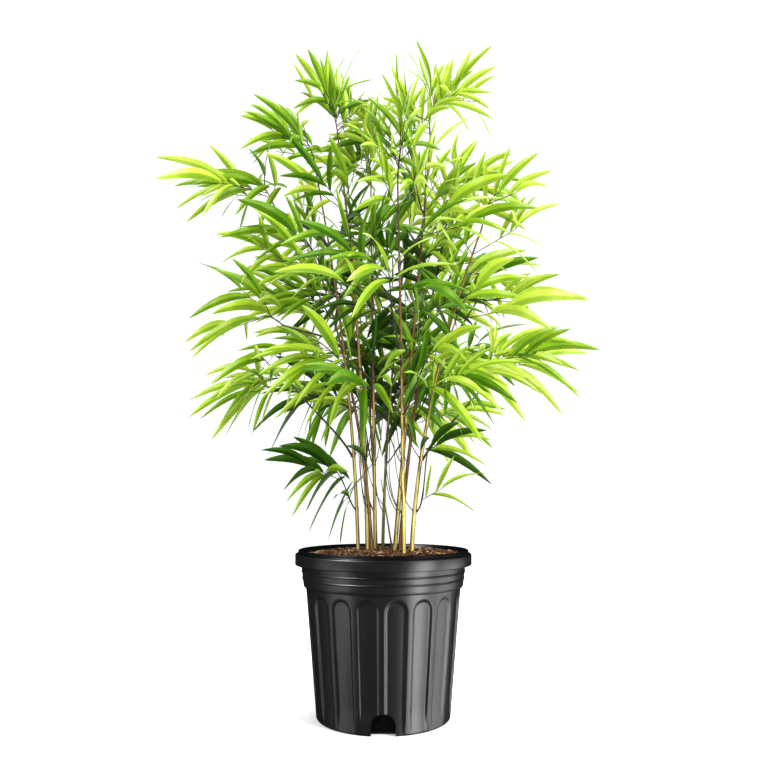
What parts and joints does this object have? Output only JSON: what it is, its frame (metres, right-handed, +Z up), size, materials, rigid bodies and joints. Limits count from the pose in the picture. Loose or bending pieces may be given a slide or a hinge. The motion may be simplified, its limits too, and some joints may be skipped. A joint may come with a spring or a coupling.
{
  "type": "potted bamboo",
  "caption": "Clump of slender bamboo culms with fans of long leaves, standing in a round black ribbed nursery pot filled with bark soil.",
  "frame": {"origin": "middle of the pot's flat underside, on the floor the pot stands on", "axes": "+Z up along the pot's axis, -Y towards the side the picture shows, +X to the right as seen from there"},
  "size_m": [0.7021, 0.6689, 1.0559],
  "materials": {
    "pot_plastic": "satin black injection-moulded polypropylene",
    "bark_soil": "moist brown bark and coir chips",
    "culm": "smooth waxy yellow cane, browner above",
    "twig": "thin dark purple-brown cane",
    "leaf": "lime-green satin leaf, darker inside the crown"
  },
  "bodies": {
    "root": {"pot": "pot_plastic", "soil": "bark_soil", "culm_left": "culm", "culm_left_tall": "culm", "culm_left_brown": "culm", "culm_centre": "culm", "culm_centre_back": "culm", "culm_back": "culm", "culm_tall": "culm", "culm_right_brown": "culm", "culm_front": "culm", "culm_right": "culm", "young_shoot": "culm", "bough_left_high": "twig", "bough_left_middle": "twig", "bough_left_low": "twig", "bough_right_middle": "twig", "bough_right_low": "twig", "bough_front_middle": "twig", "bough_back_middle": "twig", "foliage_top_left": "leaf", "foliage_top_left_outer": "leaf", "foliage_top_centre": "leaf", "foliage_top_right": "leaf", "foliage_upper_right": "leaf", "foliage_high_left": "leaf", "foliage_high_front": "leaf", "foliage_high_right": "leaf", "foliage_high_back": "leaf", "foliage_high_left_back": "leaf", "foliage_inner_top": "leaf", "foliage_inner_left": "leaf", "foliage_inner_centre": "leaf", "foliage_inner_right": "leaf", "foliage_upper_left": "leaf", "foliage_outer_left": "leaf", "foliage_upper_front_left": "leaf", "foliage_upper_front_right": "leaf", "foliage_upper_right_outer": "leaf", "foliage_upper_back_left": "leaf", "foliage_upper_back_right": "leaf", "foliage_middle_left": "leaf", "foliage_middle_front": "leaf", "foliage_middle_front_right": "leaf", "foliage_middle_right": "leaf", "foliage_middle_back": "leaf", "foliage_middle_back_left": "leaf", "foliage_middle_back_right": "leaf", "foliage_low_left": "leaf", "foliage_low_front_left": "leaf", "foliage_low_front_right": "leaf", "foliage_low_right": "leaf", "foliage_low_inner_right": "leaf", "foliage_low_back": "leaf", "foliage_low_back_right": "leaf", "foliage_low_inner_left": "leaf", "foliage_lowest_left": "leaf", "foliage_lowest_right": "leaf"}
  },
  "joints": []
}
